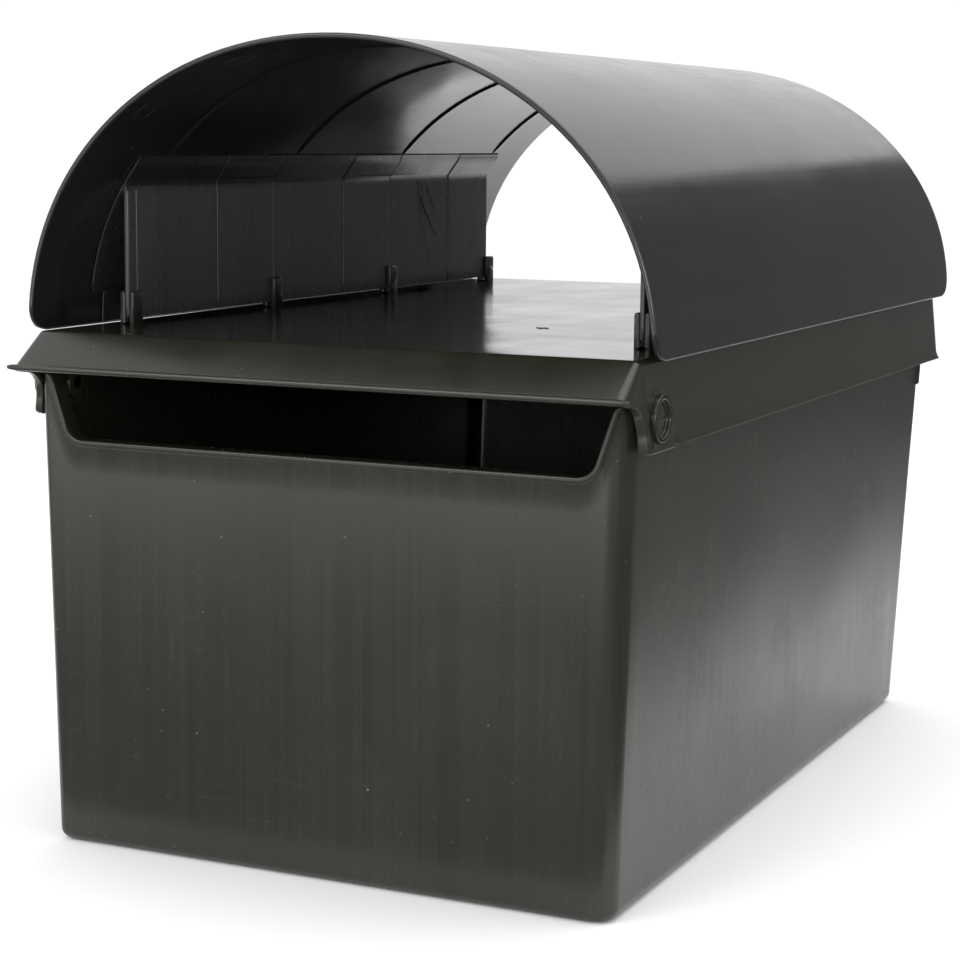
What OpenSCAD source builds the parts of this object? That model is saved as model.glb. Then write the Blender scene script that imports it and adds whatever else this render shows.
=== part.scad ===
// Letter box: a deep bin with a letter slot, a lid that turns on two side pins,
// and an arched newspaper canopy whose legs stand in slotted posts on the lid.
// Millimetres. Origin at the centre of the bin's foot, +Z up, the slot faces -Y.

/* [Bin] */
// Width of the bin's foot, side to side
bin_w = 270; // [210:1:360]
// Length of the bin's foot, front to back
bin_l = 436; // [340:1:560]
// Height of the bin's rim above its foot
bin_h = 213; // [160:1:300]
// Thickness of the bin's walls and floor
bin_wall = 2.6; // [2:0.1:3.6]
// Outward lean of the side walls, in degrees
side_lean = 1.4; // [0.4:0.1:3]
// Outward lean of the rear wall, in degrees
rear_lean = 6; // [1:0.5:8]
// Radius of the bin's upright corners
corner_r = 10; // [7:0.5:16]
// Radius of the edge round the foot
foot_r = 5; // [2:0.5:6]
// Height of the thicker band round the rear of the rim
band_h = 32; // [15:1:45]
// How far that band stands out
band_out = 1.6; // [0.8:0.1:2.4]

/* [Letter slot] */
// Depth of the slot below the rim
slot_drop = 29.5; // [22:0.5:45]
// Front wall left beside the slot at its sill
slot_margin = 15.5; // [12:0.5:24]
// Front wall left beside the slot at the rim
pillar_w = 6.7; // [5:0.1:10]
// Radius of the slot's lower corners
slot_r = 9; // [4:0.5:14]
// Width of the bead round the slot
bead_w = 2.6; // [1.5:0.1:4]
// How far the bead stands out of the front wall
bead_out = 1; // [0.5:0.1:1.6]

/* [Lid] */
// Height of the lid's top face above the bin's rim
lid_rise = 18; // [16:0.5:24]
// Thickness of the lid
lid_wall = 2.4; // [1.8:0.1:3]
// Gap between the bin's rim and the side skirts, at the lid's top
side_gap = 0.9; // [0.7:0.1:2]
// Gap between the bin's rear wall and the rear skirt
rear_gap = 4.7; // [4:0.1:8]
// Height of the skirts
skirt_h = 36.5; // [34:0.5:44]
// Outward lean of the skirts, in degrees
skirt_lean = 5.5; // [3:0.5:7]
// Radius of the lid's upper edges
lid_edge_r = 3; // [1:0.5:4]
// Radius of the lid's rear corners
lid_corner_r = 6; // [3:0.5:10]
// How far the rain visor reaches past the bin's front wall
visor_out = 20; // [12:0.5:28]
// Drop of the visor from the lid's top to its lip
visor_drop = 16; // [12:0.5:20]
// Thickness of the wings that carry the visor's ends
wing_t = 4.1; // [3.4:0.1:4.4]
// Diameter of the bead along the visor's lip
lip_d = 2.8; // [2:0.1:3.6]
// How far the skirts' lower edge flares out
hem_out = 1.5; // [0.6:0.1:2]
// Height of that flare
hem_h = 5; // [3:0.1:7]
// Gap between the bin's rear rim and the rest under the lid
rest_gap = 0.3; // [0.2:0.1:0.6]

/* [Hinge] */
// Distance of the pins behind the bin's front wall
pin_back = 16; // [14:0.5:20]
// Depth of the pins below the lid's top face
pin_drop = 24; // [23:0.5:26]
// Diameter of the sleeves' shanks
pin_d = 10; // [7:0.1:11]
// Radial clearance of the shanks in the lid
pin_fit = 0.05; // [0.02:0.01:0.1]
// Radial clearance of the shanks in the bin and of the plugs in the sleeves
push_fit = 0.01; // [0.01:0.01:0.05]
// Diameter of the sleeves' heads
head_d = 19.6; // [17:0.1:20]
// Thickness of the sleeves' heads
head_t = 2.2; // [1.8:0.1:2.6]
// Diameter of the dish in each head
dish_d = 15; // [12:0.1:16]
// Depth of the dish
dish_depth = 1.4; // [1:0.1:1.6]
// Diameter of the plugs' heads
plug_head_d = 11.6; // [9:0.1:11.8]
// Diameter of the plugs' shanks
plug_d = 6; // [4:0.1:6.4]
// Length of the thicker pad round each pin, front to back
pad_l = 29; // [26:0.5:34]
// How far the pad stands out of the skirt
pad_out = 0.5; // [0.3:0.1:0.8]

/* [Canopy] */
// How much longer the canopy is than the bin's foot
canopy_extra = 33; // [0:1:60]
// Height of the canopy's crest above its foot
canopy_h = 129; // [100:1:170]
// How far the canopy's foot stands outside the lid's top edge, each side
canopy_side = 5.5; // [4.5:0.1:9]
// How far the canopy's front rim stands behind the bin's front wall
canopy_set = 4.2; // [0:0.1:20]
// How far the canopy's foot hangs below the lid's top face
canopy_lap = 1.3; // [0:0.1:2]
// Fullness of the arch, where 2 is an ellipse
arch_power = 2.07; // [1.95:0.01:2.3]
// Thickness of the canopy's sheet
sheet_t = 2.5; // [2:0.1:3.2]
// Radius of the canopy's lower corners
foot_corner_r = 12; // [6:0.5:18]
// How far the hoop ribs stand in from the sheet
hoop_in = 1; // [0.5:0.1:1.6]
// Width of each hoop rib
hoop_w = 1.2; // [0.8:0.1:2]
// Distance of the first hoop rib from the canopy's front rim
hoop_first = 69; // [50:1:80]
// Distance of the last hoop rib from the canopy's rear rim
hoop_last = 46; // [30:1:80]
// Number of hoop ribs
hoop_n = 4; // [2:1:4]

/* [Legs and posts] */
// Distance of the leg panels' middle planes in from the lid's top edge
leg_inset = 17.5; // [14:0.5:24]
// Thickness of the leg panels
leg_t = 1.6; // [1.2:0.1:2]
// How far the narrow flaps stand in from the leg panels
flap_in = 0.5; // [0.3:0.1:0.7]
// Length of each narrow flap
flap_l = 54; // [40:1:64]
// Gap between the legs and the lid's top
leg_gap = 2.3; // [1.5:0.1:4]
// Gap between the legs' seats and the canopy
seat_gap = 0.08; // [0.07:0.01:0.15]
// Height on the canopy where the legs' seats end
seat_top = 78; // [60:1:84]
// Height on the canopy where the legs' seats begin
seat_low = 15; // [8:1:40]
// Distance of the first post from the canopy's front rim
post_first = 48; // [30:1:60]
// Distance of the last post from the canopy's rear rim
post_last = 37; // [30:1:60]
// Height of the posts above the lid
post_h = 15; // [10:0.5:20]
// Length of each post, front to back
post_l = 8.4; // [6:0.2:12]
// Thickness of each post's prongs
prong_t = 2.6; // [2:0.1:3.4]
// Clearance of the legs in the posts, each side
post_fit = 0.1; // [0.05:0.05:0.2]
// Diameter of the posts' spigots through the lid
spigot_d = 5; // [4:0.1:6]

/* [Hidden] */
$fn = 64;
past = 1;                     // how far a cut runs past a face
sliver = 0.01;                // height of a layer in a hull
posts_n = 4;                  // posts on each side

// Bin
front_y = -bin_l / 2;
function side_x(z) = bin_w / 2 + z * tan(side_lean);
function rear_y(z) = bin_l / 2 + z * tan(rear_lean);
sill_z = bin_h - slot_drop;
pillar_r = 4;                 // radius where the slot meets the rim

// Lid
lid_z = bin_h + lid_rise;
lid_x = side_x(bin_h) + side_gap + lid_wall;
lid_rear = rear_y(bin_h) + rear_gap + lid_wall;
skirt_z = lid_z - skirt_h;
function skirt_x(z) = lid_x + (lid_z - z) * tan(skirt_lean);
lip_y = front_y - visor_out;
lip_z = lid_z - visor_drop;
wing_back = 2.5;              // the skirts' front edge behind the front wall
wing_r = 12;                  // radius of the sweep under the visor
rear_flare = 1.5;             // how far the rear skirt's foot stands behind its top
visor_slope = atan2(visor_drop - lid_wall / 2, visor_out);
inner_z = lid_z - lid_wall;

// Hinge
pin_y = front_y + pin_back;
pin_z = lid_z - pin_drop;
seat_x = skirt_x(pin_z) + 0.2;       // plane where the sleeves' heads sit on the lid
boss_in = seat_x - 3.8;              // inner face of the lid's bosses
boss_r = head_d / 2 + 0.5;
ear_r = pin_d / 2 + 7;               // radius of the bin's ears round the pins
ear_x = side_x(pin_z);
ear_in = ear_x - bin_wall - 3;       // inner face of the bin's ears
snap_r = pin_d / 2 + 1.3;            // radius of the spread end behind the ear
snap_l = 2.4;
end_gap = 0.1;                       // play of the sleeve along its axis

// Canopy
foot_z = lid_z - canopy_lap;
arch_a = lid_x + canopy_side;
arch_b = canopy_h;
canopy_l = bin_l + canopy_extra;
canopy_y0 = front_y + canopy_set;
canopy_y1 = canopy_y0 + canopy_l;
arch_steps = 72;
function arch_point(a, b, t) =
    [a * sign(cos(t)) * pow(abs(cos(t)), 2 / arch_power), foot_z + b * pow(abs(sin(t)), 2 / arch_power)];
function arch(inset, t0, t1, n) =
    [for (i = [0:n]) arch_point(arch_a - inset, arch_b - inset, t0 + (t1 - t0) * i / n)];
// Angle at which the arch, moved in by inset, is h above its foot
function arch_angle(inset, h) = asin(min(1, pow(h / (arch_b - inset), arch_power / 2)));
inner = sheet_t;
hoop_pitch = (canopy_l - hoop_first - hoop_last) / (hoop_n - 1);

// Legs and posts
leg_x = lid_x - leg_inset;
leg_z = lid_z + leg_gap;
post_y0 = canopy_y0 + post_first;
post_pitch = (canopy_l - post_first - post_last) / (posts_n - 1);
leg_y0 = post_y0 - post_l / 2;       // flush with the first post's front
leg_y1 = post_y0 + post_pitch * (posts_n - 1) + 2;
seat_t = 1.2;                 // thickness of the legs' seats on the canopy
seam_w = 0.8;                 // width of the seams between flaps
seam_d = 0.4;                 // depth of the seams
edge_rib = 7;                 // distance of the stiffening rib from the leg's front edge
slot_w = leg_t + flap_in + 2 * post_fit;
post_w = slot_w + 2 * prong_t;
post_web = 0.8;               // floor of the posts' slots
// Middle of the posts' slots, in towards the middle of the lid by half a flap
post_x = leg_x - flap_in / 2;

// An arc of radius r that rounds the corner b between a and c
function unit(v) = v / norm(v);
function turn(a) = (a + 540) % 360 - 180;
function fillet(a, b, c, r, n = 8) =
    let (u = unit(a - b), v = unit(c - b), half = acos(u * v) / 2,
         centre = b + unit(u + v) * r / sin(half),
         p = b + u * r / tan(half) - centre,
         q = b + v * r / tan(half) - centre,
         a0 = atan2(p.y, p.x), sweep = turn(atan2(q.y, q.x) - a0 + 360))
    [for (i = [0:n]) centre + r * [cos(a0 + sweep * i / n), sin(a0 + sweep * i / n)]];
// A closed outline with corner i rounded to radii[i]
function rounded(points, radii) =
    let (n = len(points))
    [for (i = [0:n - 1])
        each radii[i] == 0 ? [points[i]]
            : fillet(points[(i + n - 1) % n], points[i], points[(i + 1) % n], radii[i])];

// Extrudes an outline drawn in Y and Z along X
module along_x(x0, x1) {
    translate([x0, 0, 0])
        rotate([90, 0, 90])
            linear_extrude(x1 - x0) children();
}

// Extrudes an outline drawn in X and Z along Y
module along_y(y0, y1) {
    translate([0, y1, 0])
        rotate([90, 0, 0])
            linear_extrude(y1 - y0) children();
}

// A disc on the pins' axis, from x0 to x1 on the right-hand side
module disc_x(x0, x1, r) {
    translate([x0, pin_y, pin_z])
        rotate([0, 90, 0])
            cylinder(r = r, h = x1 - x0);
}

// Its mirror image for the left-hand side, where side is -1
module sided(side) {
    mirror([side < 0 ? 1 : 0, 0, 0]) children();
}

// ---- Bin

// A disc whose lower edge is rounded
module foot_disc(r, edge) {
    rotate_extrude($fn = 32)
        polygon(concat(
            [[0, 0]],
            [for (i = [0:4]) [r - edge + edge * sin(i * 22.5), edge - edge * cos(i * 22.5)]],
            [[0, edge]]));
}

// The tapered box, moved in by inset and closed off at height top
module tub(inset, top) {
    r = corner_r - inset;
    edge = max(foot_r - inset, 1);
    hull() {
        for (sx = [-1, 1]) {
            for (back = [0, 1]) {
                y0 = back == 1 ? rear_y(0) - corner_r : front_y + corner_r;
                y1 = back == 1 ? rear_y(top) - corner_r : front_y + corner_r;
                translate([sx * (side_x(0) - corner_r), y0, inset])
                    foot_disc(r, edge);
                translate([sx * (side_x(top) - corner_r), y1, top - sliver])
                    cylinder(r = r, h = sliver, $fn = 32);
            }
        }
    }
}

// Outline of the letter slot, grown by grow, and running up to top
module slot_outline(grow, top) {
    low = side_x(sill_z) - slot_margin + grow;
    high = side_x(bin_h) - pillar_w + grow;
    flare = grow > 0 ? 0 : pillar_r * 2;
    right = [[low, sill_z - grow], [high, bin_h], [high + flare, bin_h], [high + flare, top]];
    left = [for (i = [3:-1:0]) [-right[i].x, right[i].y]];
    radii = [slot_r + grow, grow > 0 ? 0 : pillar_r, 0, 0];
    mirrored = [for (i = [3:-1:0]) radii[i]];
    polygon(grow > 0
        ? rounded([left[2], left[3], right[0], right[1]], [0, mirrored[3], radii[0], 0])
        : rounded(concat(right, left), concat(radii, mirrored)));
}

module rear_band() {
    intersection() {
        tub(-band_out, bin_h);
        translate([-bin_w, rear_y(sill_z) - corner_r, bin_h - band_h])
            cube([2 * bin_w, 4 * corner_r, band_h]);
    }
}

module bin() {
    color([0.19, 0.2, 0.17])
    difference() {
        union() {
            difference() {
                union() {
                    tub(0, bin_h);
                    rear_band();
                    along_y(front_y - bead_out, front_y + bin_wall) slot_outline(bead_w, bin_h);
                }
                tub(bin_wall, bin_h + past);
            }
            for (side = [-1, 1]) sided(side) disc_x(ear_in, ear_x, ear_r);
        }
        along_y(front_y - bead_out - past, front_y + bin_wall + 0.5) slot_outline(0, bin_h + 2 * past);
        for (side = [-1, 1]) sided(side) disc_x(ear_in - past, ear_x + past, pin_d / 2 + push_fit);
    }
}

// ---- Lid

// Cross-section of the lid in X and Z, moved out by grow and running down to low
module lid_section(grow, high, low, r) {
    x1 = skirt_x(high) + grow;
    x0 = skirt_x(low) + grow;
    polygon(rounded([[-x1, high], [-x0, low], [x0, low], [x1, high]], [r, 0, 0, r]));
}

// Side view of the lid in Y and Z, with the visor and the sweep under it
module lid_side() {
    polygon(rounded(
        [[front_y, lid_z], [lip_y, lip_z + lid_wall / 2], [lip_y + lid_wall / 2, lip_z - 0.3],
         [front_y + wing_back, lip_z - 6], [front_y + wing_back - 0.5, skirt_z], [lid_rear + rear_flare, skirt_z],
         [lid_rear, lid_z]],
        [lid_edge_r, 0, 0, wing_r, 0, 0, lid_edge_r]));
}

// Side view of the space under the lid, open below and in front
module lid_side_space() {
    drop = lid_wall / cos(visor_slope);
    y_in = front_y + (drop - lid_wall) / tan(visor_slope);
    y_out = lip_y - 4 * past;
    z_out = lid_z - drop - (front_y - y_out) * tan(visor_slope);
    polygon([[y_in, inner_z], [y_out, z_out], [y_out, skirt_z - past],
             [lid_rear + rear_flare - lid_wall, skirt_z - past], [lid_rear - lid_wall, inner_z]]);
}

module lid_skin() {
    intersection() {
        along_x(-bin_w, bin_w) lid_side();
        along_y(lip_y - past, lid_rear + 4) lid_section(0, lid_z, skirt_z, lid_edge_r);
        lid_plan();
    }
}

// Plan of the lid, which rounds the rear corners
module lid_plan() {
    x1 = skirt_x(skirt_z) + hem_out;
    y1 = lid_rear + rear_flare + hem_out;
    translate([0, 0, skirt_z - past])
        linear_extrude(skirt_h + 2 * past)
            polygon(rounded([[-x1, lip_y - past], [x1, lip_y - past], [x1, y1], [-x1, y1]],
                            [0, 0, lid_corner_r, lid_corner_r]));
}

// Flare along the lower edge of the side and rear skirts
module hem() {
    high = skirt_x(skirt_z + hem_h);
    low = skirt_x(skirt_z) + hem_out;
    intersection() {
        along_y(front_y + wing_back + pad_l, lid_rear + 4)
            polygon([[-high, skirt_z + hem_h], [-low, skirt_z], [low, skirt_z], [high, skirt_z + hem_h]]);
        along_x(-bin_w, bin_w)
            polygon([[front_y, skirt_z], [lid_rear + rear_flare + hem_out, skirt_z],
                     [lid_rear + rear_flare, skirt_z + hem_h], [front_y, skirt_z + hem_h]]);
        lid_plan();
    }
}

// Bead along the visor's lip
module lip_bead() {
    x1 = skirt_x(lip_z);
    translate([-x1, lip_y + lip_d / 2, lip_z + lid_wall / 4])
        rotate([0, 90, 0])
            cylinder(d = lip_d, h = 2 * x1);
}

// Thicker pads of the skirts round the pins
module pads() {
    y0 = front_y + wing_back;
    intersection() {
        along_y(y0, y0 + pad_l) lid_section(pad_out, lid_z - lid_edge_r, skirt_z - 1, 0);
        translate([-bin_w, y0, skirt_z - 1])
            cube([2 * bin_w, pad_l, skirt_h - lid_edge_r]);
    }
}

module lid_space() {
    y_wing = front_y + wing_back + lid_wall;
    difference() {
        intersection() {
            along_x(-bin_w, bin_w) lid_side_space();
            union() {
                along_y(lip_y - 5 * past, lid_rear + 4) lid_section(-wing_t, inner_z, skirt_z - 2 * past, 0);
                along_y(y_wing, lid_rear + 4) lid_section(-lid_wall, inner_z, skirt_z - 2 * past, 0);
            }
        }
        for (side = [-1, 1]) sided(side) disc_x(boss_in, seat_x, ear_r - 3);
    }
}

module lid() {
    color([0.16, 0.17, 0.15])
    difference() {
        union() {
            difference() {
                union() {
                    lid_skin();
                    lip_bead();
                    hem();
                    pads();
                    for (side = [-1, 1]) sided(side) disc_x(boss_in, seat_x, boss_r);
                }
                lid_space();
                for (side = [-1, 1]) sided(side) disc_x(seat_x, seat_x + 4, boss_r);
            }
            // Rest that sits on the bin's rear rim
            translate([-bin_w / 2 + corner_r * 2, rear_y(bin_h) - bin_wall, bin_h + rest_gap])
                cube([bin_w - corner_r * 4, bin_wall, lid_rise - lid_wall - rest_gap + 0.2]);
        }
        for (side = [-1, 1]) {
            sided(side) disc_x(boss_in - past, seat_x + past, pin_d / 2 + pin_fit);
            for (i = [0:posts_n - 1]) {
                translate([side * post_x, post_y0 + i * post_pitch, inner_z - past])
                    cylinder(d = spigot_d + 2 * push_fit, h = lid_wall + 2 * past);
            }
        }
    }
}

// ---- Hinge pins

module hinge_sleeve(side) {
    color([0.15, 0.16, 0.14])
    sided(side)
    difference() {
        union() {
            disc_x(seat_x + end_gap, seat_x + end_gap + head_t, head_d / 2);
            disc_x(ear_in - end_gap - snap_l, seat_x + end_gap + sliver, pin_d / 2);
            disc_x(ear_in - end_gap - snap_l, ear_in - end_gap, snap_r);
        }
        disc_x(seat_x + end_gap + head_t - dish_depth, seat_x + end_gap + head_t + past, dish_d / 2);
        disc_x(ear_in - snap_l - past, seat_x + end_gap + head_t, plug_d / 2 + push_fit);
    }
}

module hinge_plug(side) {
    face = seat_x + end_gap + head_t - dish_depth;
    head = dish_depth - 0.2;
    color([0.14, 0.15, 0.13])
    sided(side)
    difference() {
        union() {
            disc_x(face, face + head, plug_head_d / 2);
            disc_x(ear_in - end_gap - snap_l, face + sliver, plug_d / 2);
        }
        translate([face + head / 2, pin_y - 0.7, pin_z - plug_head_d * 0.36])
            cube([head, 1.4, plug_head_d * 0.72]);
    }
}

// ---- Canopy

module foot_corner(y, dir) {
    along_x(-arch_a - past, arch_a + past)
        difference() {
            translate([dir > 0 ? y - past : y - foot_corner_r, foot_z - past])
                square([foot_corner_r + past, foot_corner_r + past]);
            translate([y + dir * foot_corner_r, foot_z + foot_corner_r])
                circle(r = foot_corner_r);
        }
}

module canopy() {
    lean = arch_angle(inner, seat_top);
    color([0.17, 0.18, 0.16])
    union() {
        difference() {
            along_y(canopy_y0, canopy_y1)
                polygon(concat(arch(0, 0, 180, arch_steps), arch(inner, 180, 0, arch_steps)));
            foot_corner(canopy_y0, 1);
            foot_corner(canopy_y1, -1);
        }
        for (i = [0:hoop_n - 1]) {
            y = canopy_y0 + hoop_first + i * hoop_pitch;
            along_y(y - hoop_w / 2, y + hoop_w / 2)
                polygon(concat(arch(inner - 0.3, lean + 0.5, 179.5 - lean, arch_steps),
                               arch(inner + hoop_in, 179.5 - lean, lean + 0.5, arch_steps)));
        }
    }
}

// The seat along the canopy's inner face, in X and Z
module leg_seat_outline() {
    skin = inner + seat_gap;
    t0 = arch_angle(skin, seat_low);
    t1 = arch_angle(skin, seat_top);
    polygon(concat(arch(skin, t0, t1, 16), arch(skin + seat_t, t1, t0, 16)));
}

// The upright panel under it, cut off by the arch
module leg_panel_outline(x0, x1) {
    intersection() {
        translate([x0, leg_z]) square([x1 - x0, canopy_h]);
        polygon(arch(inner + seat_gap + seat_t / 2, 0, 180, arch_steps));
    }
}

module canopy_leg(side) {
    x_in = leg_x - leg_t / 2;
    color([0.2, 0.21, 0.2])
    sided(side)
    difference() {
        union() {
            along_y(leg_y0, leg_y1) leg_seat_outline();
            along_y(leg_y0, leg_y1) leg_panel_outline(x_in, leg_x + leg_t / 2);
            for (i = [1:posts_n - 1]) {
                y = post_y0 + i * post_pitch;
                along_y(y - flap_l, y) leg_panel_outline(x_in - flap_in, leg_x);
            }
            along_y(leg_y0 + edge_rib, leg_y0 + edge_rib + seam_w) leg_panel_outline(x_in - flap_in, leg_x);
        }
        for (i = [1:posts_n - 1]) {
            for (y = [post_y0 + i * post_pitch - flap_l - seam_w, post_y0 + i * post_pitch]) {
                along_y(y, y + seam_w)
                    translate([x_in - 2, leg_z - past]) square([2 + seam_d, canopy_h]);
            }
        }
    }
}

// ---- Posts

module post(side, i) {
    color([0.21, 0.22, 0.2])
    sided(side)
    translate([post_x, post_y0 + i * post_pitch, 0])
    union() {
        difference() {
            translate([0, 0, lid_z])
                linear_extrude(post_h)
                    polygon(rounded(
                        [[-post_w, -post_l] / 2, [post_w, -post_l] / 2, [post_w, post_l] / 2, [-post_w, post_l] / 2],
                        [1.2, 1.2, 1.2, 1.2]));
            translate([-slot_w / 2, -post_l, lid_z + post_web])
                cube([slot_w, 2 * post_l, post_h]);
        }
        translate([0, 0, inner_z - 1.6])
            cylinder(d = spigot_d, h = lid_wall + 1.6 + post_web / 2);
        translate([0, 0, inner_z - 1.6])
            cylinder(d = spigot_d + 1.8, h = 1.5);
    }
}

bin();
lid();
hinge_sleeve(-1);  // hinge_sleeve_left
hinge_sleeve(1);  // hinge_sleeve_right
hinge_plug(-1);  // hinge_plug_left
hinge_plug(1);  // hinge_plug_right
canopy();
canopy_leg(-1);  // canopy_leg_left
canopy_leg(1);  // canopy_leg_right
post(-1, 0);  // post_left_1
post(-1, 1);  // post_left_2
post(-1, 2);  // post_left_3
post(-1, 3);  // post_left_4
post(1, 0);  // post_right_1
post(1, 1);  // post_right_2
post(1, 2);  // post_right_3
post(1, 3);  // post_right_4
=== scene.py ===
import math

import bmesh
import bpy
import numpy as np
from mathutils import Matrix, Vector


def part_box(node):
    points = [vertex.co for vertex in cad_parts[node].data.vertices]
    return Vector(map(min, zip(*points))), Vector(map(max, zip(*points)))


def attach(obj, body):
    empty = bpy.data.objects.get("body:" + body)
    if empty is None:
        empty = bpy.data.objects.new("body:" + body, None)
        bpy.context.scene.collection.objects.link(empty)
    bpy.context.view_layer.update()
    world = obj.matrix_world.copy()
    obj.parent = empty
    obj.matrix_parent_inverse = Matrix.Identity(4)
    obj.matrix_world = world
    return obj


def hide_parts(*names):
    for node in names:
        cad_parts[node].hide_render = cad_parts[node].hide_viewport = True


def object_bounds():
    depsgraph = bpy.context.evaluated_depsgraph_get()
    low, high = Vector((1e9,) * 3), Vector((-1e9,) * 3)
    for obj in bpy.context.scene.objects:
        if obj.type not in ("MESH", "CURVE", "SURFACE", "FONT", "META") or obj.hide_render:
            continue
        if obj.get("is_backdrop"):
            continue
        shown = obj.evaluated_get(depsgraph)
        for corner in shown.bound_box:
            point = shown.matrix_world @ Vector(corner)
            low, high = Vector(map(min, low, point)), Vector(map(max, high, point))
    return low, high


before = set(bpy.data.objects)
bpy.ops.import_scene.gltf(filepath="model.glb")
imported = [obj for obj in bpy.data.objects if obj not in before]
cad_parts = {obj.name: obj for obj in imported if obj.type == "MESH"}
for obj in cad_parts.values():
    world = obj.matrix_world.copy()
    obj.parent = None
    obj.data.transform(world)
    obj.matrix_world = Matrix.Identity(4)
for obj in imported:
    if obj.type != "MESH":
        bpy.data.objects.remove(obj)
CAD_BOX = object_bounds()

# Sizes are in millimetres until build() turns them into metres.
MM = 0.001


def box_mm(node):
    """A CAD node's lowest and highest corners, in millimetres."""
    low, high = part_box(node)
    return np.array(low) / MM, np.array(high) / MM


BIN_LOW, BIN_HIGH = box_mm("bin")
LID_LOW, LID_HIGH = box_mm("lid")
ARCH_LOW, ARCH_HIGH = box_mm("canopy")
LEG_LOW, LEG_HIGH = box_mm("canopy_leg_right")
HEAD_LOW, HEAD_HIGH = box_mm("hinge_sleeve_right")
PIN_Y = (HEAD_LOW[1] + HEAD_HIGH[1]) / 2
PIN_Z = (HEAD_LOW[2] + HEAD_HIGH[2]) / 2
HEAD_FACE = 2.2
HEAD_LOW_X = HEAD_HIGH[0] - HEAD_FACE
LEFT_PULL = 3.6


# ---- Meshes

class Skin:
    """Collects the points and faces of one piece."""

    def __init__(self):
        self.points = []
        self.faces = []
        self.count = 0

    def add(self, points):
        points = np.asarray(points, float).reshape(-1, 3)
        ids = np.arange(self.count, self.count + len(points))
        self.points.append(points)
        self.count += len(points)
        return ids

    def bridge(self, a, b, wrap):
        """Quads between two rows of points; wrap joins the last column to the first."""
        n = len(a)
        for i in range(n if wrap else n - 1):
            j = (i + 1) % n
            self.faces.append((a[i], a[j], b[j], b[i]))

    def rows(self, rows):
        """A surface through a list of rows of points. Gives each row's ids."""
        ids = [self.add(row) for row in rows]
        for a, b in zip(ids, ids[1:]):
            self.bridge(a, b, True)
        return ids

    def closed(self, rows):
        """A surface through a list of rows, with a flat face on each end."""
        ids = self.rows(rows)
        self.faces.append(tuple(ids[0]))
        self.faces.append(tuple(ids[-1]))

    def ring(self, rows):
        """A surface through a list of rows that comes back to the first one."""
        ids = self.rows(rows)
        self.bridge(ids[-1], ids[0], True)


def put(name, data):
    """Makes an object and adds it to the scene."""
    thing = bpy.data.objects.new(name, data)
    bpy.context.scene.collection.objects.link(thing)
    return thing


def build(name, skin, body, nodes, material):
    """Makes the object, puts it on the body it rides on, and hides the CAD nodes it stands for."""
    mesh = bpy.data.meshes.new(name)
    points = np.concatenate(skin.points) * MM
    faces = [tuple(int(i) for i in face) for face in skin.faces]
    mesh.from_pydata([tuple(p) for p in points], [], faces)
    shape = bmesh.new()
    shape.from_mesh(mesh)
    bmesh.ops.recalc_face_normals(shape, faces=shape.faces)
    shape.to_mesh(mesh)
    shape.free()
    mesh.shade_smooth()
    mesh.materials.append(material)
    piece = put(name, mesh)
    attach(piece, body)
    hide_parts(*nodes)


def points_of(x, y, z):
    """Points from their coordinates, each an array or one number for all of them."""
    return np.stack(np.broadcast_arrays(x, y, z), axis=1)


def unit(v):
    v = np.asarray(v, float)
    return v / np.maximum(np.linalg.norm(v, axis=-1, keepdims=True), 1e-9)


def smooth(x, low, high):
    """0 at low and 1 at high, with a soft start and end between them, and level past them."""
    t = np.clip((np.asarray(x, float) - low) / (high - low), 0, 1)
    return t * t * (3 - 2 * t)


def turn_angles(steps):
    return 2 * math.pi * np.arange(steps) / steps


def power(x, p):
    return np.sign(x) * np.abs(x) ** p


def edge_rows(outer, inner, bulge, steps, square):
    """Rows round an edge, from the outer row to the inner one, standing out by bulge."""
    middle = (outer + inner) / 2
    half = outer - middle
    angles = [math.pi * k / steps for k in range(1, steps)]
    return [middle + half * power(math.cos(a), square) + bulge * power(math.sin(a), square) for a in angles]


def fillet(a, b, c, r, steps):
    """Points of an arc of radius r that rounds the corner b between a and c, in a plane."""
    a, b, c = (np.asarray(p, float) for p in (a, b, c))
    u = unit(a - b)
    v = unit(c - b)
    half = math.acos(float(np.clip(u @ v, -1, 1))) / 2
    centre = b + unit(u + v) * r / math.sin(half)
    p = b + u * r / math.tan(half) - centre
    q = b + v * r / math.tan(half) - centre
    start = math.atan2(p[1], p[0])
    sweep = (math.atan2(q[1], q[0]) - start + 3 * math.pi) % (2 * math.pi) - math.pi
    turns = [start + sweep * i / steps for i in range(steps + 1)]
    return [centre + r * np.array([math.cos(t), math.sin(t)]) for t in turns]


def rounded(points, radii, steps):
    """A closed outline with corner i rounded to radii[i]."""
    n = len(points)
    outline = []
    for i, radius in enumerate(radii):
        if radius == 0:
            outline.append(np.asarray(points[i], float))
        else:
            outline += fillet(points[i - 1], points[i], points[(i + 1) % n], radius, steps)
    return np.array(outline)


def block(u0, u1, v0, v1, radius):
    """A rectangle with rounded corners, as a closed outline."""
    return rounded([(u0, v0), (u1, v0), (u1, v1), (u0, v1)], [radius] * 4, 3)


def inset(outline, distance):
    """A closed outline moved in by distance, for outlines that run anticlockwise."""
    before = unit(outline - np.roll(outline, 1, axis=0))
    after = unit(np.roll(outline, -1, axis=0) - outline)
    normal_a = np.stack([-before[:, 1], before[:, 0]], axis=1)
    normal_b = np.stack([-after[:, 1], after[:, 0]], axis=1)
    middle = unit(normal_a + normal_b)
    spread = np.maximum((middle * normal_a).sum(axis=1, keepdims=True), 0.4)
    return outline + middle * distance / spread


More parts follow.
